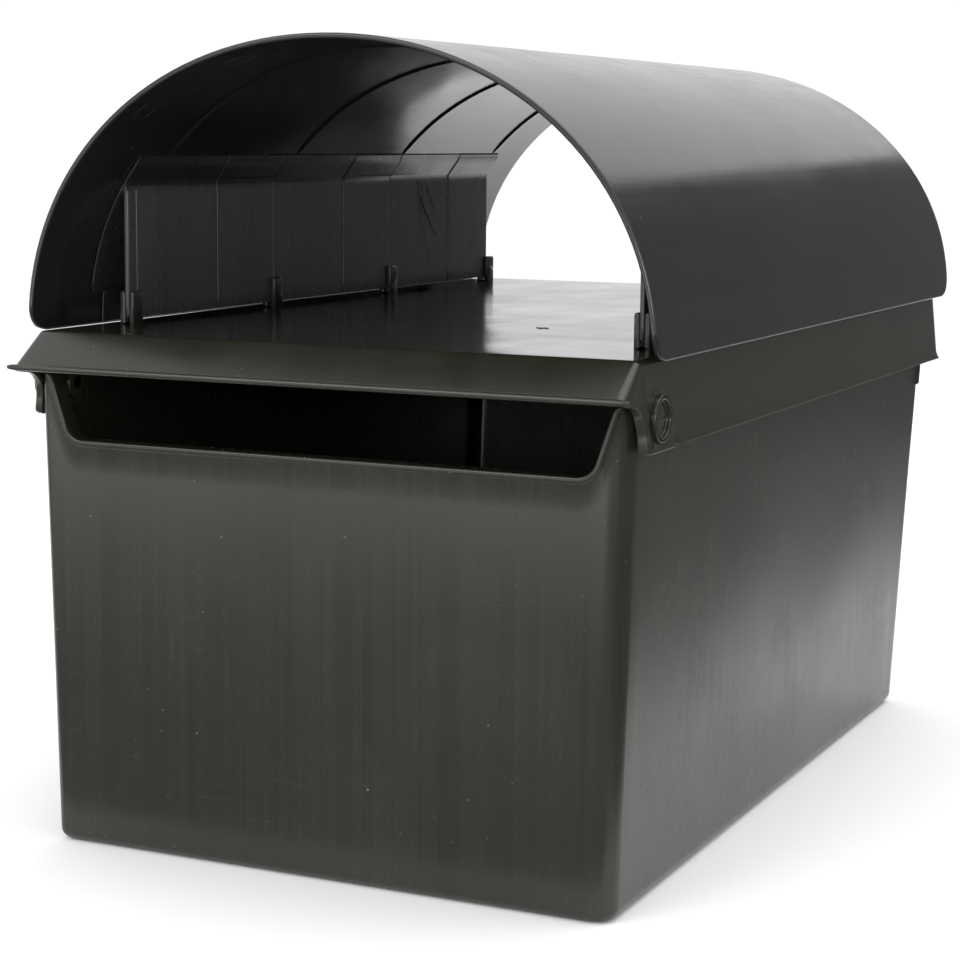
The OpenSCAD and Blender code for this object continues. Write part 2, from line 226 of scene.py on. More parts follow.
def slab(skin, outline, low, high, edge, place, steps=3):
    """A plate with rounded edges. place turns (u, v, along) into a point of the frame."""
    angles = [math.pi / 2 * k / steps for k in range(steps + 1)]
    ring = [(edge * (1 - math.sin(a)), low + edge * (1 - math.cos(a))) for a in angles]
    ring += [(edge * (1 - math.cos(a)), high - edge * (1 - math.sin(a))) for a in angles]
    rows = []
    for shrink, along in ring:
        flat = inset(outline, shrink)
        rows.append(place(flat[:, 0], flat[:, 1], along))
    skin.closed(rows)


def turned(profile, place, steps):
    """Rows of points: a profile of (radius, along) points turned about the axis that place sets."""
    angles = turn_angles(steps)
    return [place(r * np.cos(angles), r * np.sin(angles), along) for r, along in profile]


def lathe(skin, profile, place, steps=64):
    """A solid of revolution, with flat ends."""
    skin.closed(turned(profile, place, steps))


def rounded_profile(corners, radii, steps=4):
    """An open profile of (radius, along) corners, each rounded to radii[i]."""
    points = [corners[0]]
    for i in range(1, len(corners) - 1):
        if radii[i] == 0:
            points.append(corners[i])
        else:
            points += fillet(corners[i - 1], corners[i], corners[i + 1], radii[i], steps)
    points.append(corners[-1])
    return [tuple(p) for p in points]


def plan(side, f, half_x, y0, y1, r, r_left):
    """Points and outward normals on a rectangle with rounded corners, seen from above.

    side counts round it: 0 front, 2 right, 4 rear, 6 left, and the odd numbers are the corners
    between them. f runs from 0 to 1 along each, and from -1 to 1 along the front. r_left is the
    radius of the front left corner.
    """
    a = f * math.pi / 2
    s = np.sin(a)
    c = np.cos(a)
    flat_x = half_x - r
    left_x = half_x - r_left
    long_y = y1 - y0 - 2 * r
    left_y = y1 - y0 - r - r_left
    zero = np.zeros_like(a)
    x = [f * np.where(f < 0, left_x, flat_x), flat_x + r * s, half_x + zero, flat_x + r * c,
         (1 - 2 * f) * flat_x, -flat_x - r * s, -half_x + zero, -left_x - r_left * c]
    y = [y0 + zero, y0 + r - r * c, y0 + r + f * long_y, y1 - r + r * s,
         y1 + zero, y1 - r + r * c, y1 - r - f * left_y, y0 + r_left - r_left * s]
    nx = [zero, s, zero + 1, c, zero, -s, zero - 1, -c]
    ny = [zero - 1, -c, zero, s, zero + 1, c, zero, -s]
    pick = [side == k for k in range(8)]
    return np.select(pick, x), np.select(pick, y), np.select(pick, nx), np.select(pick, ny)


# ---- Bin

BIN_WALL = 2.6
SAG = 0.9
SLOT_BEAD = 1.0
BAND_OUT = 1.6
CORNER_R = 10
LEFT_CORNER_R = 5.2
FOOT_R = 5
INNER_FOOT_R = 3
RIM_Z = LID_HIGH[2] - 18
SIDE_TAN = math.tan(math.radians(1.4))
REAR_TAN = math.tan(math.radians(6))
FRONT_Y = BIN_LOW[1] + SLOT_BEAD
REAR_Y = BIN_HIGH[1] - BAND_OUT - RIM_Z * REAR_TAN
FOOT_X = BIN_HIGH[0] - BAND_OUT - RIM_Z * SIDE_TAN
SILL_Z = RIM_Z - 29.5
SLOT_LOW_X = FOOT_X + SILL_Z * SIDE_TAN - 15.5
SLOT_HIGH_X = FOOT_X + RIM_Z * SIDE_TAN - 6.7
SILL_R = 9
PILLAR_R = 3.6
BAND_Z = RIM_Z - 32
EAR_R = 12


def bin_half(z):
    return FOOT_X + z * SIDE_TAN


def bin_rear(z):
    return REAR_Y + z * REAR_TAN


def slot_edge():
    """Right half of the slot's edge, from the middle of the sill to the top of the pillar.

    Gives (s, z) points, where s is measured along the wall, and their normals into the wall.
    """
    low = (SLOT_LOW_X, SILL_Z)
    high = (SLOT_HIGH_X, RIM_Z)
    points = [np.array([s, SILL_Z]) for s in np.linspace(0, SLOT_LOW_X - SILL_R, 22)[:-1]]
    points += fillet((0, SILL_Z), low, high, SILL_R, 9)
    points += fillet(low, high, (high[0] + 10, RIM_Z), PILLAR_R, 6)
    points = np.array(points)
    tangent = unit(np.gradient(points, axis=0))
    tangent[0] = (1, 0)
    tangent[-1] = (1, 0)
    return points, np.stack([tangent[:, 1], -tangent[:, 0]], axis=1)


def at_rear(side):
    """Whether a place is on the rear wall or a corner next to it, where the band is."""
    return (side >= 3) & (side <= 5)


def bin_columns():
    """Every column's top point and normal along the wall, whether it has the bead, its side and place."""
    edge, normal = slot_edge()
    half = [(s, z, ns, nz, 1.0) for (s, z), (ns, nz) in zip(edge, normal)]
    last = edge[-1][0]

    def corner(flat_x, r):
        rest = flat_x + r * math.pi / 2 * 0.94 - last
        return [(last + rest * k / 6, RIM_Z, 0, -1, 0.0) for k in range(1, 7)]
    left = half + corner(bin_half(RIM_Z) - LEFT_CORNER_R, LEFT_CORNER_R)
    half += corner(bin_half(RIM_Z) - CORNER_R, CORNER_R)
    front = [(-s, z, -ns, nz, bead) for s, z, ns, nz, bead in left[:0:-1]] + half
    columns = [row + (0, 0.0) for row in front]
    places = [(2, f) for f in np.linspace(0, 0.985, 46)] + [(2, 0.9965)]
    places += [(3, f) for f in np.linspace(0.02, 0.98, 8)]
    places += [(4, f) for f in np.linspace(0, 1, 28)]
    places += [(5, f) for f in np.linspace(0.02, 0.98, 8)]
    places += [(6, 0.0035)] + [(6, f) for f in np.linspace(0.015, 1, 46)]
    columns += [(0, RIM_Z, 0, -1, 0.0, side, f) for side, f in places]
    return np.array(columns, float)


def bin_place(s, z, side, f):
    """Turns a distance s along the front wall at height z into a side and a place on it."""
    r = np.where(s < 0, LEFT_CORNER_R, CORNER_R)
    flat = bin_half(z) - r
    past = np.clip((np.abs(s) - flat) / (r * math.pi / 2), 0, 1)
    in_front = side == 0
    on_corner = in_front & (np.abs(s) > flat)
    new_side = np.where(on_corner, np.where(s > 0, 1, 7), side)
    new_f = np.where(on_corner, np.where(s > 0, past, 1 - past), np.where(in_front, s / flat, f))
    return new_side, new_f


def bin_sag(side, f, z):
    """How far the thin walls are drawn in from flat, as moulding leaves them."""
    high = np.clip(z / RIM_Z, 0, 1)
    rise = np.sin(math.pi * np.clip((z - 8) / (RIM_Z - 14), 0, 1)) ** 2
    front = 1 - np.clip(np.abs(f), 0, 1) ** 4
    across = np.where(side == 0, front, np.sin(math.pi * np.clip(f, 0, 1)) ** 0.7)
    flat = (side % 2 == 0) * np.clip(across, 0, 1)
    wave = 0.5 + 0.28 * np.sin(5.1 * f + 2.3 * high + side)
    wave = wave + 0.22 * np.sin(11.3 * f - 4.1 * high + 2 * side)
    return SAG * flat * rise * wave


def bin_row(z, side, f, depth):
    """A row of points on the wall, depth in from its outer face."""
    x, y, nx, ny = plan(side, f, bin_half(z), FRONT_Y, bin_rear(z), CORNER_R, LEFT_CORNER_R)
    return points_of(x - nx * depth, y - ny * depth, z)


def make_bin(material):
    """The bin: one skin from under the foot, up the outside, over the edge and down the inside."""
    skin = Skin()
    s, z, ns, nz, bead, side, f = bin_columns().T
    reach = 3.4
    inner_reach = 3.6
    flange = BIN_WALL + 0.15 + 6.2 * bead
    web = 2.1

    def at(d, w, band=0.0):
        """A row at distance d from the edge along the wall and w in from the outer face."""
        new_side, new_f = bin_place(s + ns * d, z + nz * d, side, f)
        out = band * BAND_OUT * at_rear(new_side)
        return bin_row(z + nz * d, new_side, new_f, w - out)

    # Outer face, from the foot up. Below the bead each column runs straight down.
    end_side, end_f = bin_place(s + ns * reach, z + nz * reach, side, f)
    end_z = z + nz * reach
    rows = []
    for a in np.linspace(0, math.pi / 2, 7)[:-1]:
        level = np.full(len(s), FOOT_R * (1 - math.cos(a)))
        rows.append(bin_row(level, end_side, end_f, FOOT_R * (1 - math.sin(a))))
    top = RIM_Z - reach
    levels = [FOOT_R, FOOT_R + 1] + list(np.linspace(12, BAND_Z - 6, 26))
    levels += [BAND_Z + step for step in (-1.5, -0.5, -0.1, 0.3, 0.8, 4, 15)]
    for level in levels:
        here = FOOT_R + (end_z - FOOT_R) * (level - FOOT_R) / (top - FOOT_R)
        out = BAND_OUT * at_rear(end_side) * smooth(level, BAND_Z - 0.6, BAND_Z + 0.4)
        rows.append(bin_row(here, end_side, end_f, bin_sag(end_side, end_f, here) - out))
    bead_profile = [(reach, 0), (reach - 0.35, 0.12), (reach - 0.75, 0.6), (reach - 1.15, 0.95),
                    (1.2, 1.0), (0.6, 0.9), (0.2, 0.6), (0, 0.15)]
    for d, lift in bead_profile:
        rim_round = 0.5 * smooth(d, 0.9, 0) ** 2 * (1 - bead)
        rows.append(at(d, rim_round - SLOT_BEAD * lift * bead, 1.0))
    # Round the edge, along the return, and back to the inner face.
    for d, share in [(0, 0.14), (0, 0.5), (0, 0.86), (0.12, 0.95), (0.5, 1.0)]:
        rows.append(at(d, flange * share, 1 - share))
    for d, share in [(-0.5, 1.0), (-0.1, 0.96), (0, 0.88), (0, 0.4), (0.1, 0.16), (0.9, 0)]:
        rows.append(at(web + d, BIN_WALL + (flange - BIN_WALL) * share))
    # Inner face, down to the floor
    start_side, start_f = bin_place(s + ns * inner_reach, z + nz * inner_reach, side, f)
    start_z = z + nz * inner_reach
    floor_z = BIN_WALL + INNER_FOOT_R
    for level in np.linspace(1, 0, 14):
        here = floor_z + (start_z - floor_z) * level
        rows.append(bin_row(here, start_side, start_f, BIN_WALL + bin_sag(start_side, start_f, here)))
    for a in np.linspace(0, math.pi / 2, 5)[1:]:
        level = np.full(len(s), BIN_WALL + INNER_FOOT_R * (1 - math.sin(a)))
        rows.append(bin_row(level, start_side, start_f, BIN_WALL + INNER_FOOT_R * (1 - math.cos(a))))
    skin.closed(rows)
    # Ears round the pins, inside the side walls
    ear_x = bin_half(PIN_Z) - BIN_WALL
    for way in (-1, 1):
        profile = rounded_profile([(0.5, -1), (EAR_R, -1), (EAR_R, 3), (0.5, 3)], [0, 0, 0.8, 0])
        lathe(skin, profile, pin_place(way, ear_x, -1))
    build("bin_body", skin, "box", ["bin"], material)


def pin_place(way, x, out=1):
    """Maps lathe points to a pin's axis. Along runs outwards from x, or inwards if out is -1.

    The left pin follows the lid's left side, which is drawn in.
    """
    pulled = LEFT_PULL / 4 if way < 0 else 0

    def place(u, v, along):
        return points_of(way * (x - pulled + out * along), PIN_Y + u, PIN_Z + v)
    return place


# ---- Lid

LID_WALL = 2.4
HEM_OUT = 1.5
HEM_H = 5
LOW_BAND = HEM_H + 1.5
PAD_OUT = 0.5
PAD_DROP = 1
PAD_L = 29
EDGE_R = 3
REAR_R = 6
LEAN = math.radians(5.5)
REAR_LEAN = math.atan2(1.5, 36.5)
TOP_Z = LID_HIGH[2]
SKIRT_Z = LID_LOW[2] + PAD_DROP
LIP_Y = LID_LOW[1]
LIP_Z = TOP_Z - 16
LIP_D = 2.8
LID_X = LID_HIGH[0] - HEM_OUT - (TOP_Z - SKIRT_Z) * math.tan(LEAN)
LID_REAR = LID_HIGH[1] - HEM_OUT - 1.5
WING_Y = FRONT_Y + 2.5
WING_BACK = 1
WING_FOOT_R = 2.2
SWEEP_R = 13
LIP_CORNER_R = 4
SLOPE = math.atan2(TOP_Z - LIP_Z - LID_WALL / 2, FRONT_Y - LIP_Y)
GATE_AT = (46, -89)
TOP_DIP = 0.55
BOSS_R = 10.3
REST_GAP = 0.3


def skirt_x(z):
    return LID_X + (TOP_Z - z) * math.tan(LEAN)


def lid_columns():
    """Right half of the lid's edge, from the middle of the lip to the middle of the rear.

    Each column has the centre of its upper rounding, the outward normal, the point at its foot,
    and how much of the hem and of the wing's flange it has.
    """
    r = EDGE_R
    zc = TOP_Z - r
    xc = LID_X + r * math.tan(LEAN) - r / math.cos(LEAN)
    yc = FRONT_Y - r / math.tan(SLOPE) + r / math.sin(SLOPE)
    yr = LID_REAR + r * math.tan(REAR_LEAN) - r / math.cos(REAR_LEAN)
    n_front = np.array([0, -math.sin(SLOPE), math.cos(SLOPE)])
    n_side = np.array([math.cos(LEAN), 0, math.sin(LEAN)])
    y_end = LIP_Y + LIP_D / 2 + 0.2
    z_end = TOP_Z - (FRONT_Y - y_end) * math.tan(SLOPE)
    x_end = skirt_x(z_end) - LIP_CORNER_R / math.cos(LEAN)
    columns = []
    for f in np.linspace(0, 1, 26):
        columns.append(((f * xc, yc, zc), n_front, (f * x_end, y_end, z_end), 0, 0))
    corner_foot = np.array([x_end, y_end, z_end]) - LIP_CORNER_R * n_front
    for f in np.linspace(0, 1, 8)[1:-1]:
        normal = unit(n_front * math.cos(f * math.pi / 2) + n_side * math.sin(f * math.pi / 2))
        columns.append(((xc, yc, zc), normal, corner_foot + LIP_CORNER_R * normal, 0, 0))
    # Side: the sweep under the visor, then the skirt's lower edge
    corner_end = corner_foot + LIP_CORNER_R * n_side
    pad_z = SKIRT_Z - PAD_DROP
    sweep = [(corner_end[1] + 0.3, corner_end[2] - 0.3), (WING_Y, LIP_Z - 3), (WING_Y - 0.4, pad_z)]
    arc = [sweep[0]] + fillet(sweep[0], sweep[1], sweep[2], SWEEP_R, 8)
    arc += fillet(sweep[1], sweep[2], (0, pad_z), WING_FOOT_R, 3)
    arc = np.array([arc[0], (np.array(arc[0]) + arc[1]) / 2] + arc[1:])
    arc = np.concatenate([arc, arc[-1] + np.outer(np.linspace(0.08, 1, 14), (PAD_L - 3.4, 0))])
    pad_end = WING_Y + PAD_L
    y_top = np.interp(np.arange(len(arc)), [0, len(arc) - 1], [yc + 0.4, arc[-1][0]])
    for k, ((y, z), y_up) in enumerate(zip(arc, y_top)):
        flange = smooth(k, -1, 8) * (1 - smooth(k, 14, 18))
        columns.append(((xc, y_up, zc), n_side, (skirt_x(z), y, z), 0, flange))
    steps = [(-1.2, 1, 0), (-0.45, 1, 0), (0.45, 0, 0), (1.2, 0, 0.2), (2.2, 0, 0.8)]
    steps += [(d, 0, 1) for d in np.linspace(4, yr - REAR_R - pad_end, 52)]
    for d, on_pad, hem in steps:
        z = SKIRT_Z - PAD_DROP * on_pad
        columns.append(((xc, pad_end + d, zc), n_side, (skirt_x(z), pad_end + d, z), hem, 0))
    foot_rear = LID_REAR + (TOP_Z - SKIRT_Z) * math.tan(REAR_LEAN)
    foot_x = skirt_x(SKIRT_Z) - REAR_R
    foot_y = foot_rear - REAR_R
    inner_r = REAR_R - r
    for f in np.linspace(0, 1, 9)[1:]:
        a = f * math.pi / 2
        lean = LEAN + (REAR_LEAN - LEAN) * f
        normal = np.array([math.cos(a) * math.cos(lean), math.sin(a) * math.cos(lean), math.sin(lean)])
        centre = (xc - inner_r + inner_r * math.cos(a), yr - inner_r + inner_r * math.sin(a), zc)
        foot = (foot_x + REAR_R * math.cos(a), foot_y + REAR_R * math.sin(a), SKIRT_Z)
        columns.append((centre, normal, foot, 1, 0))
    for f in np.linspace(1, 0, 20)[1:]:
        normal = (0, math.cos(REAR_LEAN), math.sin(REAR_LEAN))
        columns.append((((xc - inner_r) * f, yr, zc), normal, (foot_x * f, foot_rear, SKIRT_Z), 1, 0))
    return columns


def mirrored_loop(columns):
    """Adds the left half, and gives the centres, normals, feet, hems and flanges as lists.

    The two halves share the first and the last column.
    """
    flip = np.array([-1, 1, 1])
    left = []
    for centre, normal, foot, hem, flange in columns[-2:0:-1]:
        left.append((np.array(centre) * flip, np.array(normal) * flip, np.array(foot) * flip, hem, flange))
    return [[np.array(column[k], float) for column in columns + left] for k in range(5)]


def lid_dip(points):
    """How far the glossy top is drawn down, in shallow waves."""
    x, y = points[:, 0], points[:, 1]
    inside = np.minimum(LID_X - np.abs(x), np.minimum(y - FRONT_Y, LID_REAR - y))
    wave = 0.5 + 0.24 * np.sin(x / 31 + 1.1 * np.sin(y / 53))
    wave = wave + 0.26 * np.sin(y / 39 + 0.8 * np.sin(x / 27 + 2))
    return TOP_DIP * smooth(inside, 4, 60) * wave


def lid_pull(points):
    """The left end of the visor and the edge above it are drawn in a little, as the moulding shrank."""
    x, y, z = points.T
    left = smooth(-x, 70, 135)
    high = smooth(z, 203, 216)
    wing = left * smooth(-y, 204, 214) * (1 - high)
    moved = points.copy()
    moved[:, 0] += LEFT_PULL * (left * smooth(-y, -60, 190) * (0.25 + 0.75 * high) + 0.4 * wing)
    moved[:, 1] += WING_BACK * wing
    return moved


def make_lid(material):
    """The lid: one skin from the middle of its top, down the outside and back up under it."""
    skin = Skin()
    centre, normal, foot, hem, wing = (np.stack(part) for part in mirrored_loop(lid_columns()))
    up = np.array([0, 0, 1.0])
    tangent = unit(np.roll(foot, -1, axis=0) - np.roll(foot, 1, axis=0))
    out = np.cross(tangent, normal)
    out *= np.sign((out * (foot - centre)).sum(axis=1, keepdims=True))
    along = unit(foot - centre - normal * EDGE_R)
    out = unit(along + (unit(out) - along) * smooth(wing, 0.1, 0.9)[:, None])
    length = np.linalg.norm(foot - centre - normal * EDGE_R, axis=1)
    scale = np.minimum(LOW_BAND, length * 0.45) / LOW_BAND
    flange = LID_WALL + np.where(centre[:, 0] > 0, 2.1, 0.9) * wing

    def rounding(radius, share):
        a = share * math.pi / 2
        turn = np.arccos(np.clip(normal @ up, -1, 1))[:, None]
        lead = unit(normal - up * (normal @ up)[:, None])
        return centre + radius * (up * np.cos(turn * share) + lead * np.sin(turn * share))

    def at(d, w):
        """A row at distance d from the lower edge, w in from the outer face.

        d runs up to LOW_BAND, and is less where a column is short.
        """
        flare = HEM_OUT * hem * np.clip(1 - d / HEM_H, 0, 1) ** 2
        return foot - out * (d * scale)[:, None] - normal * (w - flare)[:, None]

    def relief(points):
        """Pads round the pins, with a flat spot under each head."""
        side = np.abs(normal[:, 0]) > 0.9
        y, z = points[:, 1], points[:, 2]
        below_edge = smooth(z, TOP_Z - EDGE_R - 1, TOP_Z - EDGE_R - 4)
        on_pad = side * (y < WING_Y + PAD_L) * below_edge * smooth(y, WING_Y - 3, WING_Y)
        result = points + normal * (PAD_OUT * on_pad)[:, None]
        spot = side * smooth(np.hypot(y - PIN_Y, z - PIN_Z), 11.6, 10.2)
        seat = HEAD_LOW_X - 0.1
        result[:, 0] += spot * (np.sign(result[:, 0]) * seat - result[:, 0])
        return result

    rows = []
    middle = np.array([0, (FRONT_Y + LID_REAR) / 2, 0])
    top = centre + up * EDGE_R
    for share in [0.02, 0.05] + list(np.linspace(0.1, 0.93, 24)) + [0.97]:
        ring = top + (middle - top) * np.array([1, 1, 0]) * (1 - share)
        ring[:, 2] -= lid_dip(ring)
        rows.append(ring)
    for share in [0, 0.06, 0.2, 0.36, 0.52, 0.68, 0.84, 0.95, 1]:
        rows.append(rounding(EDGE_R, share))
    start = centre + normal * EDGE_R
    end = at(LOW_BAND, 0)
    for share in [0.015] + list(np.linspace(0.06, 1, 22)):
        rows.append(relief(start + (end - start) * share))
    for d in [5, 3.6, 2.4, 1.4, 0.8, 0.35]:
        rows.append(relief(at(d, 0)))
    for d, share in [(0.08, 0.06), (0, 0.2), (0, 0.5), (0, 0.8), (0.08, 0.94), (0.35, 1.0)]:
        rows.append(at(d, flange * share))
    for d, share in [(1.7, 1.0), (2.0, 0.94), (2.1, 0.8), (2.1, 0.3), (2.2, 0.1), (2.6, 0)]:
        rows.append(at(d, LID_WALL + (flange - LID_WALL) * share + 0.02 * (2.6 - d)))
    inner_start = centre + normal * (EDGE_R - LID_WALL)
    inner_end = at(LOW_BAND, LID_WALL)
    rows.append(inner_end)
    for share in np.linspace(0.9, 0, 10):
        rows.append(inner_start + (inner_end - inner_start) * share)
    for share in [0.75, 0.5, 0.25, 0]:
        rows.append(rounding(EDGE_R - LID_WALL, share))
    under = centre + up * (EDGE_R - LID_WALL)
    for share in np.linspace(0.95, 0.05, 9):
        rows.append(under + (middle - under) * np.array([1, 1, 0]) * (1 - share) - up * 0.55)
    skin.closed([lid_pull(row) for row in rows])
    lip_bead(skin)
    gate_mark(skin)
    # Bosses round the pins, and the rest that sits on the bin's rear rim
    for way in (-1, 1):
        profile = rounded_profile([(0.5, -3.8), (BOSS_R, -3.8), (BOSS_R, -0.1), (0.5, -0.1)],
                                  [0, 0.6, 0.2, 0])
        lathe(skin, profile, pin_place(way, HEAD_LOW_X))
    rest_x = FOOT_X - 2 * CORNER_R
    rest_y = bin_rear(RIM_Z) - BIN_WALL
    outline = block(-rest_x, rest_x, rest_y, rest_y + BIN_WALL, 0.6)
    slab(skin, outline, RIM_Z + REST_GAP, TOP_Z - LID_WALL - REST_GAP, 0.3, points_of)
    build("lid_cover", skin, "lid", ["lid"], material)


def gate_mark(skin):
    """The small cross that the mould's gate left on the lid's top."""
    x, y = GATE_AT
    z = TOP_Z - float(lid_dip(np.array([[x, y, 0.0]]))[0])
    long, thin = 3.1, 0.45
    for half_u, half_v in ((long, thin), (thin, long)):
        slab(skin, block(-half_u, half_u, -half_v, half_v, 0.3), z - 0.3, z + 0.3, 0.15,
             lambda u, v, w: points_of(x + u, y + v, w))


def lip_bead(skin):
    """The round bead along the visor's lip, with a blunt nub at each end."""
    half = skirt_x(LIP_Z) - LIP_CORNER_R
    r = LIP_D / 2
    taper = 6
    ends = [(0.1, -1.0), (0.5, -0.97), (0.75, -0.8), (0.9, -0.5), (1.0, 0.0)]
    fine = [(r * share, -half + taper * along) for share, along in ends]
    fine += [(r, x) for x in np.linspace(-half + 2, half - 2, 40)]
    fine += [(r * share, half - taper * along) for share, along in ends[::-1]]

    def place(u, v, along):
        return lid_pull(points_of(along, LIP_Y + r + u, LIP_Z + LID_WALL / 2 + v))
    lathe(skin, fine, place, 20)


# ---- Hinge pins

DISH = 1.9
DISH_R = 7.5
HEAD_R = 9.8
SHANK_R = 5
SNAP_R = 6.3
SNAP_L = 2.4
SHANK_L = HEAD_LOW_X - HEAD_LOW[0]


def make_sleeve(way, name, material):
    """A rivet: its snap end, its shank and a round head with a dish in it."""
    skin = Skin()
    place = pin_place(way, HEAD_LOW_X)
    steps = 96
    face = HEAD_FACE
    profile = rounded_profile(
        [(0.4, -SHANK_L), (SNAP_R, -SHANK_L), (SNAP_R, SNAP_L - SHANK_L), (SHANK_R, SNAP_L - SHANK_L),
         (SHANK_R, 0), (HEAD_R, 0), (HEAD_R, face), (DISH_R, face), (DISH_R - 0.2, face - DISH),
         (0.4, face - DISH)],
        [0, 0.8, 0.4, 0, 0.3, 0.2, 0.5, 0.5, 0.5, 0], 4)
    lathe(skin, profile, place, steps)
    # The fine raised rim round the head
    base = face - 0.3
    rim = rounded_profile([(8.3, base), (9.2, base), (9.2, face), (8.5, face), (8.3, base)],
                          [0, 0, 0.2, 0.2, 0])
    skin.ring(turned(rim[:-1], place, steps))
    build(name + "_detail", skin, "box", [name], material)


def make_plug(way, name, material):
    """A plug whose crowned head has a slot across it."""
    skin = Skin()
    floor = HEAD_FACE - DISH
    head_r = 5.2
    core_r = 3
    profile = rounded_profile(
        [(0.4, -SHANK_L), (core_r, -SHANK_L), (core_r, floor - 0.1), (5.8, floor - 0.1),
         (5.6, floor + 0.35), (0.4, floor + 0.35)],
        [0, 0.4, 0, 0.1, 0.2, 0])
    lathe(skin, profile, pin_place(way, HEAD_LOW_X), 64)
    for half in (-1, 1):
        arc = [head_r * np.array([math.sin(a), math.cos(a)]) for a in np.linspace(-1.42, 1.42, 20)]
        outline = half * np.array([(-5.14, 0.8), (5.14, 0.8)] + [tuple(p) for p in arc[::-1]])

        def place(u, v, along):
            x, y, z = pin_place(way, HEAD_LOW_X)(u, v, along).T
            crown = 0.8 * (1 - np.clip(np.hypot(u, v) / head_r, 0, 1) ** 2)
            return points_of(x + way * crown * (along > floor + 0.4), y, z)
        slab(skin, outline, floor + 0.1, floor + 0.55, 0.2, place)
    build(name + "_detail", skin, "box", [name], material)


# ---- Canopy

ARCH_FOOT = ARCH_LOW[2]
ARCH_A = ARCH_HIGH[0]
ARCH_B = ARCH_HIGH[2] - ARCH_FOOT
ARCH_Y0 = ARCH_LOW[1]
ARCH_Y1 = ARCH_HIGH[1]
ARCH_POWER = 2.07
SHEET = 2.5
FOOT_CORNER = 12
RIM_REACH = 30
HOOP_IN = 1.0
HOOP_FIRST = 69
HOOP_PITCH = 118
HOOPS = [ARCH_Y0 + HOOP_FIRST + HOOP_PITCH * i for i in range(4)]
SEAT_TOP = 78


def arch_point(t, depth):
    """A point of the vault in X and Z at angle t, depth in from its outer face."""
    x = (ARCH_A - depth) * power(np.cos(t), 2 / ARCH_POWER)
    z = ARCH_FOOT + (ARCH_B - depth) * power(np.sin(t), 2 / ARCH_POWER)
    return x, z


def arch_angle(height, depth):
    """The angle at which the vault is height above its foot."""
    return math.asin(min(1, (height / (ARCH_B - depth)) ** (ARCH_POWER / 2)))


def canopy_angles():
    """Angles of the rows, close together by the rounded lower corners."""
    corner = FOOT_CORNER * (1 - np.cos(np.linspace(0, math.pi / 2, 9))) + 0.02
    near = [arch_angle(height, 0) for height in corner]
    half = near + list(np.linspace(near[-1], math.pi / 2, 34)[1:])
    return np.array(half + [math.pi - t for t in half[-2::-1]])


def canopy_ys():
    """Where the rings of points stand along the canopy, close together by the hoops."""
    ys = set(np.round(np.linspace(ARCH_Y0, ARCH_Y1, 40), 2))
    ys |= {ARCH_Y0 + 0.8, ARCH_Y1 - 0.8, ARCH_Y0 + 3, ARCH_Y1 - 3}
    for y in HOOPS:
        ys = {v for v in ys if abs(v - y) > 2}
        ys |= {y + d for d in (-1.3, -0.75, -0.55, -0.3, 0.3, 0.55, 0.75, 1.3)}
    return np.array(sorted(ys))


def canopy_grid(depth_of):
    """Points of one face of the sheet, one row per angle."""
    edge = SHEET / 2
    angles = canopy_angles()
    ys = canopy_ys()
    grid = []
    for t in angles:
        height = ARCH_B * math.sin(min(t, math.pi - t)) ** (2 / ARCH_POWER)
        cut = max(0.0, FOOT_CORNER - height)
        shift = FOOT_CORNER - math.sqrt(FOOT_CORNER ** 2 - cut ** 2) + edge
        share_0 = np.clip((ys - ARCH_Y0) / RIM_REACH, 0, 1)
        share_1 = np.clip((ARCH_Y1 - ys) / RIM_REACH, 0, 1)
        y = ys + shift * (1 - share_0) - shift * (1 - share_1)
        depth = depth_of(t, y)
        x, z = arch_point(t, depth)
        lift = edge * (1 - smooth(height, 0, 4))
        grid.append(points_of(x, y, z + lift))
    return np.array(grid)


def border(grid):
    """The points round the edge of a grid, in order."""
    return np.concatenate([grid[0], grid[1:-1, -1], grid[-1, ::-1], grid[-2:0:-1, 0]])


def sheet(skin, outer, inner, bulge, steps=6, square=0.75):
    """A closed sheet between two grids, with a rounded edge that stands out by bulge."""
    ids = []
    for grid in (outer, inner):
        flat = skin.add(grid).reshape(grid.shape[:2])
        for a, b in zip(flat, flat[1:]):
            skin.bridge(a, b, False)
        ids.append(flat)
    edge_o = border(outer)
    edge_i = border(inner)
    middle = (edge_o + edge_i) / 2
    tangent = unit(np.roll(middle, -1, axis=0) - np.roll(middle, 1, axis=0))
    out = unit(np.cross(tangent, unit(edge_o - edge_i)))
    out *= np.where((out * border_inward(outer)).sum(axis=1, keepdims=True) > 0, -1, 1)
    rows = edge_rows(edge_o, edge_i, out * bulge, steps, square)
    made = [border(ids[0])] + [skin.add(row) for row in rows] + [border(ids[1])]
    for a, b in zip(made, made[1:]):
        skin.bridge(a, b, True)


def border_inward(grid):
    """At each point round a grid's edge, a vector that points into the grid."""
    inner = np.clip(np.arange(grid.shape[0]), 1, grid.shape[0] - 2)
    across = np.clip(np.arange(grid.shape[1]), 1, grid.shape[1] - 2)
    moved = grid[inner][:, across]
    return border(moved) - border(grid)


RING_MARKS = [(math.radians(130.5), ARCH_Y0 + 17), (math.radians(110.5), ARCH_Y0 + 24)]
RING_R = 6


def ring_mark(skin, t, y):
    """The fine raised ring that an ejector left on the vault's inner face."""
    rows = []
    for a in turn_angles(8):
        across = RING_R + 0.35 * math.cos(a)
        depth = SHEET + 0.2 * math.sin(a)
        row = []
        for b in turn_angles(40):
            x, z = arch_point(t + across * math.cos(b) / ARCH_B, depth)
            row.append((float(x), y + across * math.sin(b), float(z)))
        rows.append(row)
    skin.ring(rows)


